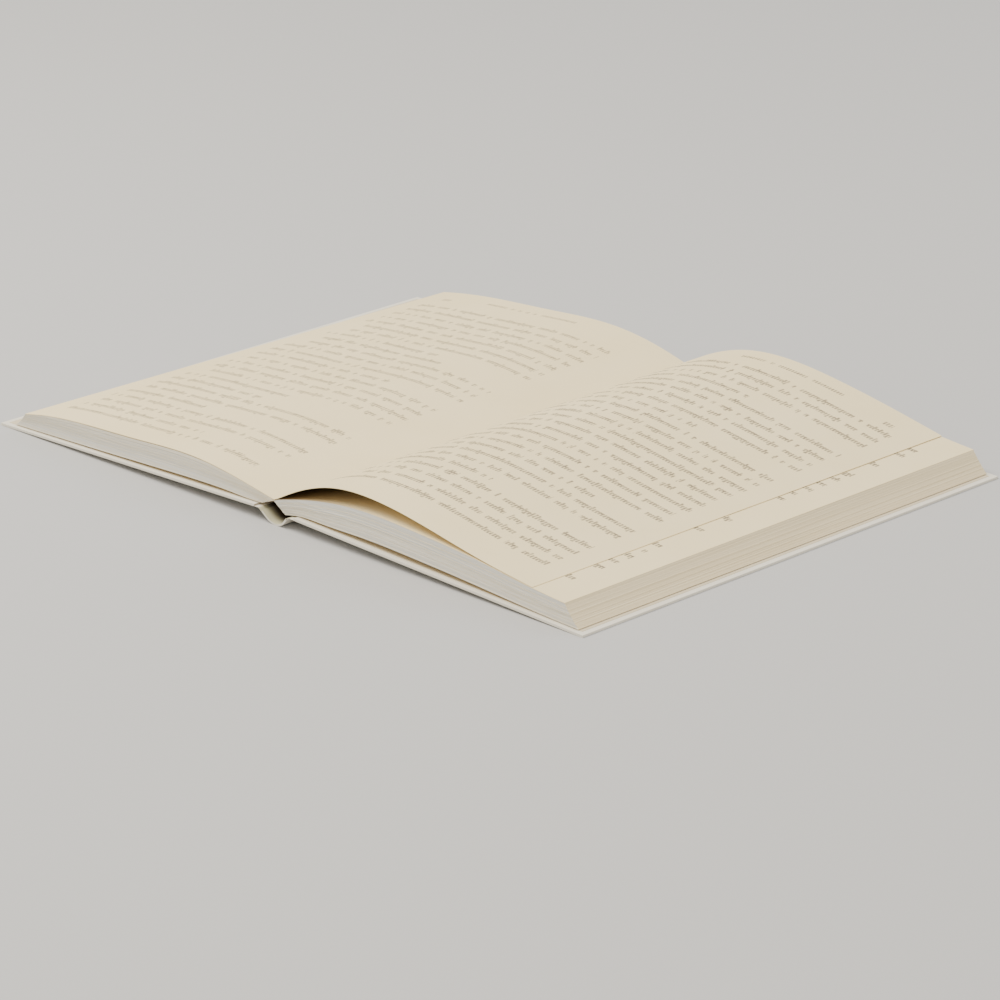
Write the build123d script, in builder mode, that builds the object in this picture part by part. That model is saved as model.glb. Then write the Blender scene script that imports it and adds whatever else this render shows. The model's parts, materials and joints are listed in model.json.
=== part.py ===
"""A thin-board, case-bound book lying open on its covers, with its top right-hand leaf arched up.

Millimetres. X runs across the spread, from the front cover on the left to the back cover on the right,
Y runs up the page from tail to head, and Z is up. The origin is under the middle of the spine, on the
surface that the book lies on: the fore-edges of both covers and the bow of the spine touch Z = 0.
"""
import os
from math import asin, atan2, cos, radians, sin, tan

from build123d import *

# Leaves
leaf_height = 186.6  # tail to head
leaf_width = 125.5  # folded back to fore-edge
left_stack = 5.4  # glued thickness of the leaves turned to the left
right_stack = 6.1  # glued thickness of the leaves on the right
leaf_sheet = 0.2  # the lifted leaf, with its curl
lifted_drawn_in = 14.1  # how far the arch draws the lifted leaf's fore-edge back
left_drawn_in = 5.6  # how far the bowed left-hand leaves draw back at the tail
left_twist = 4.8  # further draw-back of the left-hand page at its head corner
left_bevel = 4.6  # lowest left-hand leaf past the top one
right_bevel = 5.6  # lowest right-hand leaf past the top one
fore_edge_hollow = 0.35  # how deep the fore-edges are hollowed

# Gutter and back of the text block
gutter_x = -1.5
gutter_z = 7.4
back_skin = 0.55  # paper and glue left under the gutter
left_splay = 19.0  # fall of the back under the left-hand leaves, degrees
right_splay = 31.0  # fall of the back under the right-hand leaves, degrees
lining = 0.3  # gauze and paper glued on the back of the leaves
lining_set_in = 1.0

# Case
square = 1.7  # boards past the leaves at head and tail
board = 0.5
covering = 0.12  # covering paper
pastedown = 0.1
board_reach = leaf_width - 1.5  # hinge line to fore-edge
hinge_height = 3.8  # outer face of the covers above the table at the hinges
hinge_margin = 1.1  # hinge line out past the lowest left-hand leaf
board_setback = 1.0  # hinge line to board
turn_in = 12.0
pastedown_margin = 2.0  # pastedown kept back from the board's edges
pastedown_setback = 0.5  # pastedown kept back from the board's spine edge
sink_step = 0.3  # ramp where the pastedown sinks between the turn-ins
gauze_wing = 20.0  # gauze glued on each board under its pastedown
gauze_clear = 1.0  # gauze kept clear of the turn-ins
hinge_slit = 0.3  # covering left free each side of a hinge line, where it bends
inlay = 0.35  # paper strip that stiffens the covering behind the spine
inlay_margin = 2.6  # inlay kept back from each hinge line
seat_gap = 0.2  # air between the lowest leaf and the pastedown

board_height = leaf_height + 2 * square
cover_thickness = 2 * covering + board + pastedown
gutter = (gutter_x, gutter_z)
back_ridge = (gutter_x - 0.3, gutter_z - back_skin)
left_foot = (
    back_ridge[0] - left_stack * cos(radians(left_splay)),
    back_ridge[1] - left_stack * sin(radians(left_splay)),
)
right_foot = (
    back_ridge[0] + right_stack * cos(radians(right_splay)),
    back_ridge[1] - right_stack * sin(radians(right_splay)),
)
hinge_x = hinge_margin - left_foot[0]
cover_slope = asin(hinge_height / board_reach)


def face_height(x):
    """Height of a cover's inner face at a distance across the spread."""
    return hinge_height - (abs(x) - hinge_x) * sin(cover_slope) + cover_thickness


def side_points(side, start_x, reach, rises, swell=1.0, base=0.0):
    """Points from the spine out to a fore-edge, with rises above the cover's inner face.

    Each rise is a pair: the share of the reach, and the height as a multiple of swell.
    """
    stations = [(start_x + side * reach * share, height) for share, height in rises]
    return [(x, face_height(x) + base + swell * height) for x, height in stations]


# Rises of each page's surface, as multiples of the stack's glued thickness. The first table of each
# pair is for the tail edge and the second for the head edge.
left_page = (
    ((0.1, 0.9), (0.3, 1.52), (0.55, 1.47), (0.8, 1.36), (0.93, 1.13), (1.0, 0.88)),
    ((0.1, 1.07), (0.3, 1.72), (0.55, 1.62), (0.8, 1.4), (0.93, 1.14), (1.0, 0.93)),
)
right_page = ((0.1, 0.99), (0.3, 1.67), (0.5, 1.7), (0.7, 1.54), (0.88, 1.23), (1.0, 1.1))
# Millimetres that the lifted leaf stands over the page below it, at the tail and at the head.
lift = (
    ((0.1, 2.9), (0.25, 5.2), (0.4, 5.0), (0.6, 3.1), (0.8, 0.75), (1.0, 0.25)),
    ((0.1, 2.9), (0.25, 5.3), (0.4, 5.7), (0.6, 4.5), (0.8, 2.4), (1.0, 0.3)),
)
gap_end = (0.86, 0.96)  # share of the lifted leaf where it comes down on the page below
# Millimetres of air under the lowest leaves, beyond the seat gap.
left_under = ((0.03, 0.03), (0.12, 0.15), (0.24, 0.45), (0.4, 0.2), (0.7, 0.05), (1.0, 0.02))
right_under = (
    (0.05, 0.05),
    (0.13, 0.45),
    (0.27, 1.1),
    (0.45, 1.2),
    (0.6, 0.95),
    (0.77, 0.4),
    (0.9, 0.08),
    (1.0, 0.02),
)


def table_height(table, share):
    """Straight-line value between the pairs of a table."""
    for (before, low), (after, high) in zip(table, table[1:]):
        if share <= after:
            return low + (high - low) * (share - before) / (after - before)
    return table[-1][1]


left_reaches = [leaf_width - left_drawn_in - twist for twist in (0, left_twist)]
lifted_reach = leaf_width - lifted_drawn_in
left_low_reach = leaf_width - left_drawn_in + left_bevel - abs(left_foot[0] - gutter_x)
right_low_reach = leaf_width + right_bevel - abs(right_foot[0] - gutter_x) - 0.8
fore_x = gutter_x + leaf_width - 0.9  # fore-edge of the uppermost leaf that lies flat


def page_point(share):
    """The flat right-hand page's surface, at a share of its width."""
    x = gutter_x + (fore_x - gutter_x) * share
    return x, face_height(x) + right_stack * table_height(right_page, share)


def leaf_points(end, drop=0.0):
    """Upper surface of the lifted leaf at one end of the book, lowered by drop."""
    points = []
    for share, height in lift[end]:
        x = gutter_x + lifted_reach * share
        below = page_point((x - gutter_x) / (fore_x - gutter_x))
        points.append((x, below[1] + height - drop))
    return points


def hollow_arc(start, finish):
    """A fore-edge from start to finish, hollowed towards the spine."""
    middle_x = (start[0] + finish[0]) / 2
    inward = -1 if middle_x > 0 else 1
    middle = (middle_x + inward * fore_edge_hollow, (start[1] + finish[1]) / 2)
    return ThreePointArc(start, middle, finish)


def block_section(end):
    """Closed outline of all the leaves at the tail (0) or the head (1)."""
    left_top = side_points(-1, gutter_x, left_reaches[end], left_page[end], swell=left_stack)
    left_low = side_points(-1, left_foot[0], left_low_reach, left_under, base=seat_gap)
    right_low = side_points(1, right_foot[0], right_low_reach, right_under, base=seat_gap)
    lifted = leaf_points(end)
    page_start = (lifted[-1][0], page_point((lifted[-1][0] - gutter_x) / (fore_x - gutter_x))[1])
    fore_top = page_point(1.0)
    Spline(left_foot, *left_low)
    hollow_arc(left_low[-1], left_top[-1])
    Spline(*reversed(left_top), gutter)
    Spline(gutter, *lifted)
    Line(lifted[-1], page_start)
    Line(page_start, fore_top)
    hollow_arc(fore_top, right_low[-1])
    Spline(*reversed(right_low), right_foot)
    Polyline(right_foot, back_ridge, left_foot)


def gap_section(end):
    """Closed outline of the air between the lifted leaf and the page below it."""
    mouth = (gutter_x + 0.8, gutter_z + 0.2)
    share = gap_end[end]
    end_x = gutter_x + lifted_reach * share
    touch = (end_x, page_point((end_x - gutter_x) / (fore_x - gutter_x))[1])
    roof = [p for p in leaf_points(end, drop=leaf_sheet) if mouth[0] < p[0] < end_x - 3]
    floor = [page_point(s) for s, _ in right_page]
    floor = [p for p in floor if mouth[0] < p[0] < end_x - 3]
    Spline(mouth, *roof, touch)
    Spline(touch, *reversed(floor), mouth)


# Text block: every leaf, sewn and glued into one block, with the lifted leaf standing off it.
tail_plane = Plane.XZ.offset(leaf_height / 2)
head_plane = Plane.XZ.offset(-leaf_height / 2)
with BuildPart() as text_block:
    for end, plane in enumerate((tail_plane, head_plane)):
        with BuildSketch(plane):
            with BuildLine():
                block_section(end)
            make_face()
    loft(ruled=True)
    for end, plane in enumerate((tail_plane, head_plane)):
        with BuildSketch(plane):
            with BuildLine():
                gap_section(end)
            make_face()
    loft(ruled=True, mode=Mode.SUBTRACT)
text_block.part.label = "text_block"

# Corners of the spine's bow before they are rounded, measured across the spread.
bow_high_left = -0.85 * hinge_x
bow_low_left = -0.19 * hinge_x
bow_low_right = 0.41 * hinge_x
bow_high_right = 0.8 * hinge_x

# Spine lining: gauze and paper glued over the folds at the back of the leaves.
with BuildPart() as spine_lining:
    with BuildSketch(Plane.XZ):
        with BuildLine():
            Polyline(left_foot, back_ridge, right_foot)
            offset(amount=lining, side=Side.RIGHT, kind=Kind.INTERSECTION)
        make_face()
    extrude(amount=leaf_height / 2 - lining_set_in, both=True)
spine_lining.part.label = "spine_lining"


def bow_outline(depth):
    """Outline of the bowed spine of the case, from its outer face in to depth."""
    end_x = hinge_x - hinge_slit
    left_turn = atan2(hinge_height, bow_low_left - bow_high_left)
    right_turn = atan2(hinge_height, bow_high_right - bow_low_right)
    half_floor = 0.46 * (bow_low_right - bow_low_left)
    FilletPolyline(
        (-end_x, hinge_height),
        (bow_high_left, hinge_height),
        (bow_low_left, 0),
        (bow_low_right, 0),
        (bow_high_right, hinge_height),
        (end_x, hinge_height),
        radius=[1.2, half_floor / tan(left_turn / 2), half_floor / tan(right_turn / 2), 0.7],
    )
    offset(amount=depth, side=Side.LEFT)


def bow_band(depth):
    """The bowed spine of the case as one sketch, from its outer face in to depth."""
    with BuildSketch() as band:
        with BuildLine():
            bow_outline(depth)
        make_face()
    return band.sketch


def bow_layer(outer, inner):
    """One glued layer of the bowed spine between two depths, as wide as the inlay."""
    with BuildSketch(Plane.XZ) as layer:
        add(bow_band(inner))
        add(bow_band(outer), mode=Mode.SUBTRACT)
        with Locations((0, hinge_height / 2)):
            Rectangle(2 * (hinge_x - inlay_margin), 3 * hinge_height, mode=Mode.INTERSECT)
    return layer.sketch


inlay_layer = bow_layer(covering, covering + inlay)
turned_layer = bow_layer(covering + inlay, 2 * covering + inlay)

# Spine inlay: a strip of stiff paper glued inside the covering.
with BuildPart() as spine_inlay:
    extrude(inlay_layer, amount=board_height / 2 - covering, both=True)
spine_inlay.part.label = "spine_inlay"

# Spine covering: the stretch of covering paper between the hinge lines, bowed away from the leaves and
# turned in over the inlay at head and tail.
with BuildPart() as spine_covering:
    with BuildSketch(Plane.XZ):
        add(bow_band(covering))
    extrude(amount=board_height / 2, both=True)
    extrude(inlay_layer, amount=board_height / 2, both=True)
    extrude(turned_layer, amount=board_height / 2, both=True)
    extrude(turned_layer, amount=board_height / 2 - turn_in, both=True, mode=Mode.SUBTRACT)
    extrude(inlay_layer, amount=board_height / 2 - covering, both=True, mode=Mode.SUBTRACT)
spine_covering.part.label = "spine_covering"

pieces = [text_block, spine_lining, spine_inlay, spine_covering]


def slab(near, far, half_width, low, high, mode=Mode.ADD):
    """A flat sheet on a cover: near and far are measured from the hinge line, low and high from its outer face."""
    with Locations(((near + far) / 2, 0, (low + high) / 2)):
        Box(far - near, 2 * half_width, high - low, mode=mode)


board_top = covering + board
turned_top = board_top + covering
half_height = board_height / 2
field_far = board_reach - turn_in
field_half = half_height - turn_in
gauze_far = board_setback + gauze_wing

# Covers: on each side a board in its covering paper, the wing of the spine gauze, and the pastedown.
# Each is built flat on its own plane, which runs from the hinge line down to the fore-edge.
for name, side in (("front", -1), ("back", 1)):
    cover_plane = Plane(
        origin=(side * hinge_x, 0, hinge_height),
        x_dir=(side * cos(cover_slope), 0, -sin(cover_slope)),
        z_dir=(side * sin(cover_slope), 0, cos(cover_slope)),
    )

    with BuildPart(cover_plane) as cover_board:
        slab(board_setback, board_reach - covering, half_height - covering, covering, board_top)
    cover_board.part.label = f"{name}_board"

    with BuildPart(cover_plane) as cover_covering:
        slab(hinge_slit, board_reach, half_height, 0, turned_top)
        slab(0, board_setback, half_height, covering, turned_top, mode=Mode.SUBTRACT)
        slab(0, board_reach - covering, half_height - covering, covering, board_top, mode=Mode.SUBTRACT)
        slab(0, field_far, field_half, board_top, turned_top, mode=Mode.SUBTRACT)
    cover_covering.part.label = f"{name}_covering"

    with BuildPart(cover_plane) as cover_gauze:
        slab(board_setback, gauze_far, field_half - gauze_clear, board_top, turned_top)
    cover_gauze.part.label = f"{name}_gauze"

    with BuildPart(cover_plane) as cover_pastedown:
        sheet_near = board_setback + pastedown_setback
        sheet_far = board_reach - pastedown_margin
        slab(sheet_near, sheet_far, half_height - pastedown_margin, turned_top, turned_top + pastedown)
        slab(gauze_far, field_far, field_half, board_top, turned_top)
        slab(
            gauze_far + sink_step,
            field_far - sink_step,
            field_half - sink_step,
            board_top + pastedown,
            turned_top + pastedown,
            mode=Mode.SUBTRACT,
        )
    cover_pastedown.part.label = f"{name}_pastedown"

    pieces += [cover_board, cover_covering, cover_gauze, cover_pastedown]

os.makedirs("parts", exist_ok=True)
for piece in pieces:
    export_step(piece.part, f"parts/{piece.part.label}.step")
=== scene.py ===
import json
import math

import bpy
import numpy as np
from mathutils import Matrix, Vector


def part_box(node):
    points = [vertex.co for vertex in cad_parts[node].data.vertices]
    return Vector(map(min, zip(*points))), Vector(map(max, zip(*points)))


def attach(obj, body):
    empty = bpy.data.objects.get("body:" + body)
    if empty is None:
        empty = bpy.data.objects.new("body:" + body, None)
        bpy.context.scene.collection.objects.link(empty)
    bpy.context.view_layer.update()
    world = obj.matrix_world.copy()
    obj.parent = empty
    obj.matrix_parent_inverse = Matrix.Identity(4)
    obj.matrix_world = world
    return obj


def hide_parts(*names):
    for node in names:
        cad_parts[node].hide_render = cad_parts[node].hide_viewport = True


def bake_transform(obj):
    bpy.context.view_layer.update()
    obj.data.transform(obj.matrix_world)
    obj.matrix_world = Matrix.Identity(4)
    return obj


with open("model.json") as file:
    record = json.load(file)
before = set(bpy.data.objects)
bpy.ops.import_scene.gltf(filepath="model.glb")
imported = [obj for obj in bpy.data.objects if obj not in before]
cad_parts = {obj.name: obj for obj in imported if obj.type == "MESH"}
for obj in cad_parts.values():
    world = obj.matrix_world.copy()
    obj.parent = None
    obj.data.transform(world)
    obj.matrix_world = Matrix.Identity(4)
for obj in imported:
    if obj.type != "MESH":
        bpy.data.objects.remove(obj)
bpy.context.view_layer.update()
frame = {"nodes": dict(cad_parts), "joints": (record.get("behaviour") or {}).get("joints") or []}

# ---------------------------------------------------------------------------------------------------
# Leaves: about a hundred sheets of soft cream book paper, sewn and glued along their folded back. They lie
# in two fanned stacks over covers that slope from their hinge lines to the table. Each drawn sheet stands
# for about one leaf and is cut a hair longer or shorter than the next, which streaks the edges.
mm = 0.001
hinges = {joint["child"]: Vector(joint["pos_m"]) for joint in frame["joints"]}
hinge_x = hinges["back_cover"].x
covering_thickness = 0.12 * mm
hinge_z = hinges["back_cover"].z - covering_thickness / 2
cover_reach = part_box("back_covering")[1].x - hinge_x
cover_slope = math.asin(hinge_z / cover_reach)
cover_thickness = 0.84 * mm
seat_gap = 0.2 * mm

leaves_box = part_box("text_block")
left_low_x, tail_y = leaves_box[0].xy
right_low_x, head_y = leaves_box[1].xy
left_page_x = (-121.4 * mm, -116.6 * mm)
right_page_x = 123.1 * mm
gutter = np.array((-1.5, 7.4)) * mm
back_ridge = np.array((-1.8, 7.05)) * mm
left_foot = np.array((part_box("spine_lining")[0].x, 5.09 * mm))
right_foot = np.array((3.43, 3.71)) * mm
left_stack = 5.4 * mm
right_stack = 6.1 * mm
left_sheets = 42
right_sheets = 50
fore_edge_hollow = 0.35 * mm
cut_spread = 0.035
cut_wave = 0.03
end_spread = 0.05
sheet_low = 0.06
sheet_high = 0.94
stations = 64
edge_stations = 20

# Height of the top leaves over the covers, as (share of the way out, share of the stack): the left stack
# at its tail and at its head, then the right one. The air under the leaves is in millimetres.
left_page_rises = (
    ((0.1, 0.9), (0.3, 1.52), (0.55, 1.47), (0.8, 1.36), (0.93, 1.13), (1.0, 0.88)),
    ((0.1, 1.07), (0.3, 1.72), (0.55, 1.62), (0.8, 1.4), (0.93, 1.14), (1.0, 0.93)),
)
right_page_rises = ((0.1, 0.99), (0.3, 1.67), (0.5, 1.7), (0.7, 1.54), (0.88, 1.23), (1.0, 1.1))
left_air = ((0.03, 0.12), (0.12, 0.55), (0.24, 0.9), (0.4, 0.75), (0.7, 0.3), (1.0, 0.05))
right_air = (
    (0.05, 0.1),
    (0.13, 0.6),
    (0.27, 1.35),
    (0.45, 1.45),
    (0.6, 1.15),
    (0.77, 0.5),
    (0.9, 0.08),
    (1.0, 0.02),
)


class Shade:
    """The value of one socket. Arithmetic on it adds Math nodes to its finish."""

    def __init__(self, finish, socket):
        self.finish = finish
        self.socket = socket

    def math(self, operation, *others):
        inputs = dict(enumerate((self, *others)))
        return self.finish.node("ShaderNodeMath", {"operation": operation}, inputs)

    def __add__(self, other):
        return self.math("ADD", other)

    def __sub__(self, other):
        return self.math("SUBTRACT", other)

    def __rsub__(self, other):
        return self.finish.node("ShaderNodeMath", {"operation": "SUBTRACT"}, {0: other, 1: self})

    def __mul__(self, other):
        return self.math("MULTIPLY", other)

    def __truediv__(self, other):
        return self.math("DIVIDE", other)

    def __rtruediv__(self, other):
        return self.finish.node("ShaderNodeMath", {"operation": "DIVIDE"}, {0: other, 1: self})

    def __gt__(self, other):
        return self.math("GREATER_THAN", other)

    def __lt__(self, other):
        return self.math("LESS_THAN", other)

    def ramp(self, low, high):
        """0 below low, 1 above high, and smooth between."""
        settings = {"interpolation_type": "SMOOTHSTEP"}
        return self.finish.node("ShaderNodeMapRange", settings, {0: self, 1: low, 2: high})

    __radd__ = __add__
    __rmul__ = __mul__


class Finish:
    """One material with its shader, and the nodes that make its colour and its bump."""

    def __init__(self, name, roughness=0.8, specular=0.25):
        self.material = bpy.data.materials.new(name)
        self.material.use_nodes = True
        self.tree = self.material.node_tree
        self.shader = self.tree.nodes["Principled BSDF"]
        self.shader.inputs["Roughness"].default_value = roughness
        self.shader.inputs["Specular IOR Level"].default_value = specular

    def node(self, kind, settings=None, inputs=None, output=0):
        """Adds a node: its settings first, then the values or links of its sockets."""
        made = self.tree.nodes.new(kind)
        for name, value in (settings or {}).items():
            setattr(made, name, value)
        for key, value in (inputs or {}).items():
            if isinstance(value, Shade):
                self.tree.links.new(value.socket, made.inputs[key])
            else:
                made.inputs[key].default_value = value
        return Shade(self, made.outputs[output])

    def place(self):
        """Where a point lies on the object, in metres."""
        return self.node("ShaderNodeTexCoord", output="Object")

    def part(self, vector, axis):
        """One axis of a vector, by its letter."""
        return self.node("ShaderNodeSeparateXYZ", None, {0: vector}, axis)

    def stretched(self, vector, scale):
        return self.node("ShaderNodeVectorMath", {"operation": "MULTIPLY"}, {0: vector, 1: scale})

    def noise(self, vector, scale, detail=2.0):
        return self.node("ShaderNodeTexNoise", None, {"Vector": vector, "Scale": scale, "Detail": detail})

    def tint(self, amount, first, second):
        """The first colour at amount 0 and the second at 1."""
        colours = [value if isinstance(value, Shade) else (*value, 1.0) for value in (first, second)]
        inputs = {0: amount, 6: colours[0], 7: colours[1]}
        return self.node("ShaderNodeMix", {"data_type": "RGBA"}, inputs, 2)

    def surface(self, colour, height=None, distance=0.00005, strength=0.3):
        """Connects a colour, and a height for the bump."""
        self.tree.links.new(colour.socket, self.shader.inputs["Base Color"])
        if height is not None:
            inputs = {"Strength": strength, "Distance": distance, "Height": height}
            bump = self.node("ShaderNodeBump", None, inputs)
            self.tree.links.new(bump.socket, self.shader.inputs["Normal"])


def face_height(x):
    """Height of a cover's inner face at x."""
    return hinge_z - (np.abs(x) - hinge_x) * math.sin(cover_slope) + cover_thickness


def smooth(points):
    """The natural cubic curve through the given points, as evenly spaced stations."""
    points = np.array(points, float)
    steps = np.linalg.norm(np.diff(points, axis=0), axis=1)
    knots = np.concatenate(([0], np.cumsum(steps)))
    size = len(points)
    system = np.eye(size)
    turns = np.zeros_like(points)
    for i in range(1, size - 1):
        before, after = steps[i - 1], steps[i]
        system[i, i - 1 : i + 2] = before, 2 * (before + after), after
        turns[i] = 6 * ((points[i + 1] - points[i]) / after - (points[i] - points[i - 1]) / before)
    bend = np.linalg.solve(system, turns)
    where = knots[-1] * np.linspace(0, 1, stations)
    span = np.clip(np.searchsorted(knots, where) - 1, 0, size - 2)
    gap = steps[span][:, None]
    past = (where - knots[span])[:, None]
    left = gap - past
    return (
        bend[span] * left**3 / (6 * gap)
        + bend[span + 1] * past**3 / (6 * gap)
        + (points[span] / gap - bend[span] * gap / 6) * left
        + (points[span + 1] / gap - bend[span + 1] * gap / 6) * past
    )


def leaf_line(start, end_x, table, swell, base=0.0):
    """A leaf's line across the book: from its start out to end_x, by rises over the cover's inner face."""
    line = [start]
    for share, rise in table:
        x = start[0] + (end_x - start[0]) * share
        line.append((x, face_height(x) + base + swell * rise))
    return smooth(line)


def new_piece(name, points, faces, finish, rounded=False):
    """A mesh piece from points and faces, with its finish."""
    mesh = bpy.data.meshes.new(name)
    mesh.from_pydata([tuple(point) for point in points], [], faces)
    mesh.materials.append(finish.material)
    mesh.polygons.foreach_set("use_smooth", [rounded] * len(mesh.polygons))
    mesh.update()
    piece = bpy.data.objects.new(name, mesh)
    bpy.context.scene.collection.objects.link(piece)
    return piece


def stack(name, low, tops, foot, sheets, seed):
    """A fanned stack of sheets between its lowest line and its top lines at the tail and the head."""
    rng = np.random.default_rng(seed)
    side = np.sign(low[-1][0])
    pull = (np.arange(stations) / (stations - 1)) ** 6
    between = np.linspace(0, 1, edge_stations)[1:-1]
    rings = []
    for sheet in range(sheets):
        cut = rng.normal(0, cut_spread) * mm + cut_wave * mm * math.sin(sheet * 0.9 + seed)
        tail_cut = rng.normal(0, end_spread) * mm
        head_cut = rng.normal(0, end_spread) * mm
        for level in (sheet + sheet_low, sheet + sheet_high):
            t = level / sheets
            lines = []
            for top in tops:
                line = low * (1 - t) + top * t
                line[0] = foot * (1 - t) + back_ridge * t
                line[:, 0] += side * (cut - fore_edge_hollow * 4 * t * (1 - t)) * pull
                lines.append(line)
            tail = [(x, tail_y + tail_cut, z) for x, z in lines[0]]
            head = [(x, head_y + head_cut, z) for x, z in lines[1]]
            fore = [Vector(tail[-1]).lerp(Vector(head[-1]), share) for share in between]
            spine = [Vector(head[0]).lerp(Vector(tail[0]), share) for share in between]
            rings.append([*tail, *fore, *reversed(head), *spine])
    count = len(rings[0])
    points = [point for ring in rings for point in ring]
    faces = []
    for level in range(len(rings) - 1):
        for i in range(count):
            j = (i + 1) % count
            under = level * count
            over = under + count
            quad = (under + i, under + j, over + j, over + i)
            faces.append(quad if side > 0 else quad[::-1])
    for start, flip in ((0, side > 0), ((len(rings) - 1) * count, side < 0)):
        head_end = start + 2 * stations + edge_stations - 3
        for i in range(stations - 1):
            quad = (start + i, start + i + 1, head_end - i - 1, head_end - i)
            faces.append(quad[::-1] if flip else quad)
    piece = new_piece(name, points, faces, edge_finish)
    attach(piece, "block")
    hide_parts("text_block")


# Cut paper edges: warmer at the fore-edges, streaked along the leaves. The cool white at the tail and the
# head is painted light.
edge_finish = Finish("leaf_edges", roughness=0.85, specular=0.2)
edge_place = edge_finish.place()
fine = edge_finish.noise(edge_finish.stretched(edge_place, (14, 14, 5200)), 1)
broad = edge_finish.noise(edge_finish.stretched(edge_place, (9, 9, 1300)), 1)
edge_facing = edge_finish.node("ShaderNodeNewGeometry", output="Normal")
# Painted light: faces towards the tail or the head take a cooler, greyer copy of the edge colour.
cool_lit_ends = edge_finish.part(edge_facing, "Y").math("ABSOLUTE").ramp(0.5, 0.8)
streak = (fine * 0.6 + broad * 0.4).ramp(0.38, 0.62)
cool_lit_edge = edge_finish.tint(streak, (0.74, 0.73, 0.67), (0.66, 0.645, 0.58))
warm_edge = edge_finish.tint(streak, (0.82, 0.70, 0.46), (0.74, 0.62, 0.385))
edge_finish.surface(edge_finish.tint(cool_lit_ends, warm_edge, cool_lit_edge), fine, 0.00008, 0.5)

left_tops = [leaf_line(gutter, left_page_x[end], left_page_rises[end], left_stack) for end in (0, 1)]
left_low = leaf_line(left_foot, left_low_x, left_air, mm, seat_gap)
right_top = leaf_line(gutter, right_page_x, right_page_rises, right_stack)
right_low = leaf_line(right_foot, right_low_x, right_air, mm, seat_gap)
stack("left_leaves", left_low, left_tops, left_foot, left_sheets, 3)
stack("right_leaves", right_low, [right_top] * 2, right_foot, right_sheets, 8)

# ---------------------------------------------------------------------------------------------------
# Open pages: the top left-hand leaf, which stands a little off the stack towards its tail, and the flat
# right-hand page under the arched leaf. Both are single sheets of the same paper, printed in soft grey. The
# print is rows of short strokes in word-long groups with ragged ends, and it spells nothing.
cream = (0.90, 0.755, 0.455)
cream_dark = (0.86, 0.71, 0.405)
gutter_shade = (0.20, 0.125, 0.05)
ink = (0.13, 0.105, 0.075)
leaf_thickness = 0.12 * mm
page_rows = 30
crease_angle = math.radians(50)

# The type area, in millimetres from its lower corner on the gutter's or the left page's outer side.
row_pitch = 6.24
row_count = 26
text_width = 94.0
indent = 5.5
stroke_pitch = 1.15
word_part = 3.6
row_foot = (0.2, 0.25)
row_top = (0.50, 0.56)
rise_height = 0.14
drop_height = 0.12
running_head_box = (22, 66, 178.6, 180.2)
folio_rows = (175.4, 177.6)
folio_width = 4


def paper_fibre(finish, colour, darker):
    """Uncoated paper: soft clouds where the sheet is thicker, and a fine fibre."""
    place = finish.place()
    clouds = finish.noise(place, 38, 3).ramp(0.3, 0.7)
    fibre = finish.noise(place, 2600)
    return finish.tint(clouds * 0.55 + fibre * 0.35, colour, darker), fibre


def page_finish(name, seed, first_row, strength, folio_x=86, sparse=False, shaded=False):
    """A printed page. first_row is the height of the lowest row's band above the tail edge.

    A shaded page is painted brown towards the gutter, to stand for the deep shade under the arched leaf.
    """
    finish = Finish(name, roughness=0.82, specular=0.22)
    page = finish.node("ShaderNodeUVMap", {"uv_map": "page"})
    across = finish.part(page, "X")
    upward = finish.part(page, "Y")
    rows = (upward - first_row) / row_pitch
    row = rows.math("FLOOR")
    phase = rows - row

    def chance(x, salt):
        """A random share that is the same all over one row and one x."""
        inputs = {"Vector": finish.node("ShaderNodeCombineXYZ", None, {0: x, 1: row, 2: seed + salt})}
        return finish.node("ShaderNodeTexWhiteNoise", {"noise_dimensions": "3D"}, inputs, "Value")

    def within(left, right, bottom, top):
        return (upward > bottom) * (upward < top) * (across > left) * (across < right)

    shifted = across + chance(0.0, 1) * 7
    stroke = (shifted / stroke_pitch).math("FLOOR")
    part = (shifted / word_part).math("FLOOR")
    rise = (chance(stroke, 2) > 0.8) * rise_height
    drop = (chance(stroke, 3) > 0.9) * drop_height
    foot = phase.ramp(row_foot[0] - drop, row_foot[1] - drop)
    band = foot * (1 - phase.ramp(rise + row_top[0], rise + row_top[1]))
    stem = (shifted / stroke_pitch).math("FRACT").math("PINGPONG", 0.5).ramp(0.08, 0.3)
    bar = chance(stroke, 8).ramp(0.35, 0.6)
    dab = stem.math("MAXIMUM", bar * phase.math("PINGPONG", 0.15).ramp(0.05, 0.13))
    in_word = (chance(part, 4) > 0.34).math("MAXIMUM", (shifted / word_part).math("FRACT") > 0.62)
    closes = chance(0.5, 5) > 0.8
    row_end = text_width * (1 - closes * (0.2 + chance(0.5, 6) * 0.55))
    opens = (chance(0.5, 7) > 0.8) * indent
    inside = (across > opens) * (across < row_end) * (rows > 0.0) * (rows < row_count)
    if sparse:
        inside = inside * (chance(0.5, 9) > 0.35)
    heading = within(*running_head_box) + within(folio_x, folio_x + folio_width, *folio_rows)
    printed = (dab * band * in_word * inside + stem * in_word * heading).math("MINIMUM", 1.0)
    uneven = finish.noise(page, 0.7).ramp(0.2, 0.75)
    sheet_colour, fibre = paper_fibre(finish, cream, cream_dark)
    if shaded:
        sheet_colour = finish.tint(1 - across.ramp(-22, 42), sheet_colour, gutter_shade)
    inked = finish.tint(printed * (0.45 + uneven * 0.55) * strength, sheet_colour, ink)
    finish.surface(inked, fibre, strength=0.25)
    return finish


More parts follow.
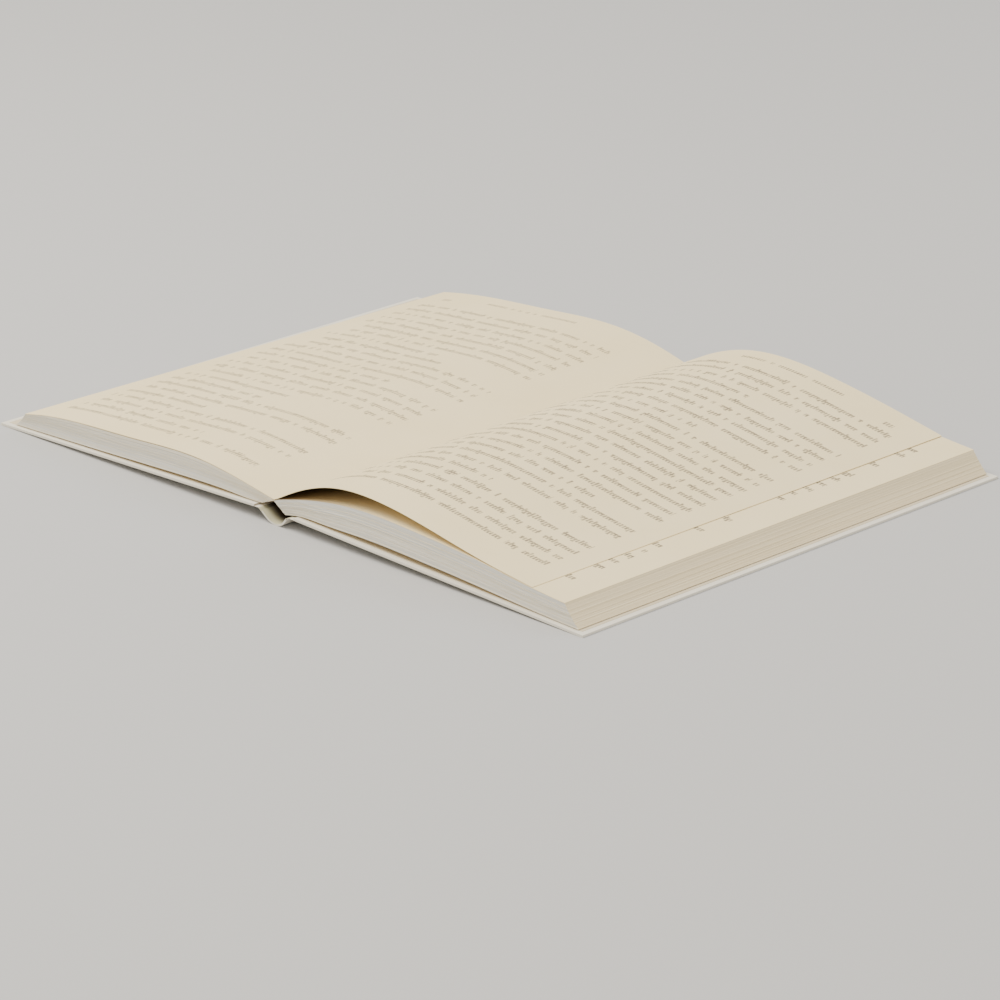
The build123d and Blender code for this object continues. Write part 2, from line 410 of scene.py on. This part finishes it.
def page_sheet(name, tail_line, head_line, text_edge, finish, lift=lambda share: 0.0):
    """A single leaf between its lines at the tail and the head, with its page coordinates in millimetres.

    text_edge is the distance from the gutter to where the type area starts, and lift is how far the leaf
    stands off its lines at a share of the way from tail to head.
    """
    count = len(tail_line)
    total = page_rows * count
    side = np.sign(tail_line[-1][0])
    tail_arc = np.concatenate(([0], np.cumsum(np.linalg.norm(np.diff(tail_line, axis=0), axis=1)))) / mm
    across = (tail_arc - text_edge) * side
    upward = np.linspace(0, (head_y - tail_y) / mm, page_rows)
    points = []
    for depth in (0.0, leaf_thickness):
        for r in range(page_rows):
            share = r / (page_rows - 1)
            line = tail_line * (1 - share) + head_line * share
            raised = lift(share) + np.zeros(count)
            y = tail_y + (head_y - tail_y) * share
            points += [(x, y, z - depth + extra) for (x, z), extra in zip(line, raised)]
    faces = []
    for r in range(page_rows - 1):
        for i in range(count - 1):
            a = r * count + i
            quad = (a, a + 1, a + count + 1, a + count)
            under = tuple(total + v for v in quad[::-1])
            faces += [quad, under] if side > 0 else [quad[::-1], under[::-1]]
    rim = [
        *range(count),
        *[r * count + count - 1 for r in range(1, page_rows)],
        *[(page_rows - 1) * count + i for i in range(count - 2, -1, -1)],
        *[r * count for r in range(page_rows - 2, 0, -1)],
    ]
    for a, b in zip(rim, rim[1:] + rim[:1]):
        quad = (b, a, total + a, total + b)
        faces.append(quad if side > 0 else quad[::-1])
    piece = new_piece(name, points, faces, finish, rounded=True)
    layer = piece.data.uv_layers.new(name="page")
    for loop in piece.data.loops:
        r, i = divmod(loop.vertex_index % total, count)
        layer.data[loop.index].uv = (across[i], upward[r])
    creases = piece.modifiers.new("creases", "EDGE_SPLIT")
    creases.split_angle = crease_angle
    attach(piece, "block")
    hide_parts("text_block")


def left_lift(share):
    """How far the left-hand page stands off its stack: least at the head and the fore-edge."""
    out = np.linspace(0, 1, stations)
    arch = np.sin(np.pi * np.clip(out * 1.05, 0, 1)) ** 0.8
    return (0.1 + 0.3 * (1 - share) ** 1.5 * arch) * mm


def right_lift(share):
    """The flat right-hand page lies close on its stack."""
    return 0.12 * mm


left_print = page_finish("left_page_print", 11, 9.0, 0.72, folio_x=2)
page_sheet("left_page", *left_tops, 112.0, left_print, left_lift)
right_print = page_finish("right_page_print", 23, 12.0, 1.0, sparse=True, shaded=True)
page_sheet("right_page", right_top, right_top, 21.6, right_print, right_lift)

# ---------------------------------------------------------------------------------------------------
# Arched leaf: the top right-hand leaf, one printed sheet held by its fold in the gutter. It springs up off
# the page below and comes down on it again along the fore-edge.
lifted_reach = 111.4 * mm
lifted_rises = (
    ((0.1, 2.9), (0.25, 5.2), (0.4, 5.0), (0.6, 3.1), (0.8, 0.75), (1.0, 0.3)),
    ((0.1, 2.9), (0.25, 5.3), (0.4, 5.7), (0.6, 4.5), (0.8, 2.4), (1.0, 0.45)),
)


def lifted_line(rises):
    """The arched leaf's line at one end, by its rises over the page below in millimetres."""
    line = [gutter]
    for share, rise in rises:
        x = gutter[0] + lifted_reach * share
        line.append((x, np.interp(x, right_top[:, 0], right_top[:, 1]) + rise * mm))
    return smooth(line)


lifted_print = page_finish("lifted_leaf_print", 37, 12.0, 0.9)
page_sheet("lifted_leaf", *map(lifted_line, lifted_rises), 12.5, lifted_print)

# ---------------------------------------------------------------------------------------------------
# Covering: one sheet of smooth off-white paper glued round both boards and across the spine, and turned in
# on the inside. The parts on the two covers are dressed here.


def paper_finish(name, colour, darker, roughness, specular=0.25, distance=0.00005, strength=0.3):
    finish = Finish(name, roughness, specular)
    finish.surface(*paper_fibre(finish, colour, darker), distance, strength)
    return finish


def dress(finish, *nodes):
    """Gives CAD pieces their finish, and leaves their meshes alone."""
    for node in nodes:
        materials = frame["nodes"][node].data.materials
        materials.clear()
        materials.append(finish.material)


off_white = (0.76, 0.72, 0.62)
off_white_dark = (0.71, 0.665, 0.555)
covering_finish = paper_finish("covering_paper", off_white, off_white_dark, 0.75, 0.3, 0.0001, 0.35)
dress(covering_finish, "front_covering", "back_covering")

# Spine of the covering: the same sheet, bowed down between the joints. Its inner face is a greener cream
# at the ends. Further in it is painted dark to stand for the shade of the hollow, so it stays dark in any
# light.
bow_finish = Finish("spine_paper", roughness=0.8)
bow_outer, bow_fibre = paper_fibre(bow_finish, off_white, off_white_dark)
bow_facing = bow_finish.node("ShaderNodeNewGeometry", output="Normal")
bow_upper = bow_finish.part(bow_facing, "Z").ramp(0.1, 0.3)
bow_depth = 1 - bow_finish.part(bow_finish.place(), "Y").math("ABSOLUTE").ramp(0.089, 0.0945)
bow_inner = bow_finish.tint(bow_depth, (0.50, 0.47, 0.31), (0.05, 0.03, 0.014))
bow_finish.surface(bow_finish.tint(bow_upper, bow_outer, bow_inner), bow_fibre)
dress(bow_finish, "spine_covering")

# ---------------------------------------------------------------------------------------------------
# Joints: the covering sheet runs on from the spine to each cover with no board under it, and creases there
# when the cover turns. Each joint is drawn as a thin strip that bends between the block and its cover.
joint_reach = 0.9 * mm
joint_thickness = covering_thickness * 1.05
joint_stations = 9
spine_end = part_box("spine_covering")[1].y
inner_x = hinge_x - joint_reach
outer_x = hinge_x + joint_reach
for side, body in ((-1, "front_cover"), (1, "back_cover")):
    line = []
    for x in np.linspace(inner_x, outer_x, joint_stations):
        drop = max(0.0, x - hinge_x) * math.sin(cover_slope)
        line.append((side * x, hinge_z - drop))
    points = [
        (x, y, z + rise)
        for y in (-spine_end, spine_end)
        for rise in (0.0, joint_thickness)
        for x, z in line
    ]
    faces = []
    for i in range(joint_stations - 1):
        tail_under, tail_over, head_under, head_over = (k * joint_stations + i for k in range(4))
        ring = (tail_under, tail_over, head_over, head_under)
        for p, q in zip(ring, ring[1:] + ring[:1]):
            quad = (p, p + 1, q + 1, q)
            faces.append(quad if side < 0 else quad[::-1])
    for i, flip in ((0, side < 0), (joint_stations - 1, side > 0)):
        cap = (i, joint_stations + i, 3 * joint_stations + i, 2 * joint_stations + i)
        faces.append(cap if flip else cap[::-1])
    joint = new_piece(f"{body}_joint", points, faces, covering_finish)
    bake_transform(joint)

# ---------------------------------------------------------------------------------------------------
# Pastedowns: the outer halves of the endpapers, cream like the leaves but a shade deeper, glued down over
# the turned-in covering on the inside of each board.
endpaper_finish = paper_finish("endpaper", (0.66, 0.575, 0.41), (0.61, 0.52, 0.355), 0.85, strength=0.25)
dress(endpaper_finish, "front_pastedown", "back_pastedown")

# ---------------------------------------------------------------------------------------------------
# Boards: thin grey-brown pasteboard, cut square and wholly wrapped by the covering and the pastedowns.
# They only show if those are taken off.
board_finish = paper_finish("board", (0.42, 0.36, 0.27), (0.36, 0.30, 0.22), 0.95, strength=0.5)
dress(board_finish, "front_board", "back_board")

# ---------------------------------------------------------------------------------------------------
# Gauze: an open cotton weave glued on the back of the leaves, with a wing pasted to each board. The lining
# on the back is painted dark brown to stand for the shade of the hollow.
gauze_finish = Finish("gauze", roughness=0.95)
weave = {"Vector": gauze_finish.place(), "Scale": 320.0, "Distortion": 0.4}
warp = gauze_finish.node("ShaderNodeTexWave", {"bands_direction": "X"}, weave)
weft = gauze_finish.node("ShaderNodeTexWave", {"bands_direction": "Y"}, weave)
threads = warp.math("MAXIMUM", weft)
gauze_colour = gauze_finish.tint(threads, (0.50, 0.46, 0.37), (0.70, 0.67, 0.58))
gauze_finish.surface(gauze_colour, threads, 0.0001, 0.6)
dress(gauze_finish, "front_gauze", "back_gauze")

hollow_brown = (0.10, 0.065, 0.03)
lining_finish = paper_finish("spine_lining_paper", hollow_brown, (0.07, 0.045, 0.02), 0.9, strength=0.4)
dress(lining_finish, "spine_lining")

# ---------------------------------------------------------------------------------------------------
# Spine inlay: a strip of stiff paper glued inside the bow of the covering, under its turned-in ends. It
# keeps the spine's curve. Like the lining it is painted dark brown, as painted shade for the hollow.
inlay_finish = paper_finish("inlay_paper", (0.16, 0.115, 0.06), (0.11, 0.08, 0.04), 0.9)
dress(inlay_finish, "spine_inlay")

# ---------------------------------------------------------------------------------------------------
# Setting: a plain pale floor, soft light from three large panels and a pale room, and the camera low over
# the tail edge from the right.
floor_half = 3.0
floor_z = -0.02 * mm
floor_finish = Finish("floor", roughness=0.9)
floor_clouds = floor_finish.noise(floor_finish.place(), 3)
floor_finish.surface(floor_finish.tint(floor_clouds, (0.50, 0.495, 0.485), (0.48, 0.475, 0.465)))
floor_corners = [
    (x * floor_half, y * floor_half, floor_z) for x, y in ((-1, -1), (1, -1), (1, 1), (-1, 1))
]
floor = new_piece("floor", floor_corners, [(0, 1, 2, 3)], floor_finish, rounded=True)

room_colour = (1.0, 0.985, 0.96, 1)
room_strength = 0.85
room = bpy.data.worlds.new("studio")
room.use_nodes = True
room.node_tree.nodes["Background"].inputs["Color"].default_value = room_colour
room.node_tree.nodes["Background"].inputs["Strength"].default_value = room_strength
bpy.context.scene.world = room

panel_size = 0.8
panels = (
    ("key_panel", (-0.55, -0.35, 1.1), 23.0, (1.0, 0.95, 0.86)),
    ("fill_panel", (0.9, -0.7, 0.7), 6.0, (1.0, 0.95, 0.87)),
    ("back_panel", (0.2, 1.1, 0.7), 4.0, (0.95, 0.97, 1.0)),
)
for name, where, power, colour in panels:
    lamp = bpy.data.lights.new(name, "AREA")
    lamp.shape = "SQUARE"
    lamp.size = panel_size
    lamp.energy = power
    lamp.color = colour
    panel = bpy.data.objects.new(name, lamp)
    panel.location = where
    panel.rotation_euler = (-Vector(where)).to_track_quat("-Z", "Y").to_euler()
    bpy.context.scene.collection.objects.link(panel)

azimuth = math.radians(44.82)
elevation = math.radians(20.29)
camera_distance = 1.485214
camera_right = 0.002777
camera_up = -0.015694
level = math.cos(elevation)
back = Vector((math.sin(azimuth) * level, -math.cos(azimuth) * level, math.sin(elevation)))
right = Vector((math.cos(azimuth), math.sin(azimuth), 0))
upright = back.cross(right)
lens = bpy.data.cameras.new("camera")
lens.sensor_width = 36
lens.lens = 165.97
lens.clip_start = 0.05
camera = bpy.data.objects.new("camera", lens)
stand = camera_distance * back + camera_right * right + camera_up * upright
camera.matrix_world = Matrix.Translation(stand) @ Matrix((right, upright, back)).transposed().to_4x4()
bpy.context.scene.collection.objects.link(camera)
bpy.context.scene.camera = camera
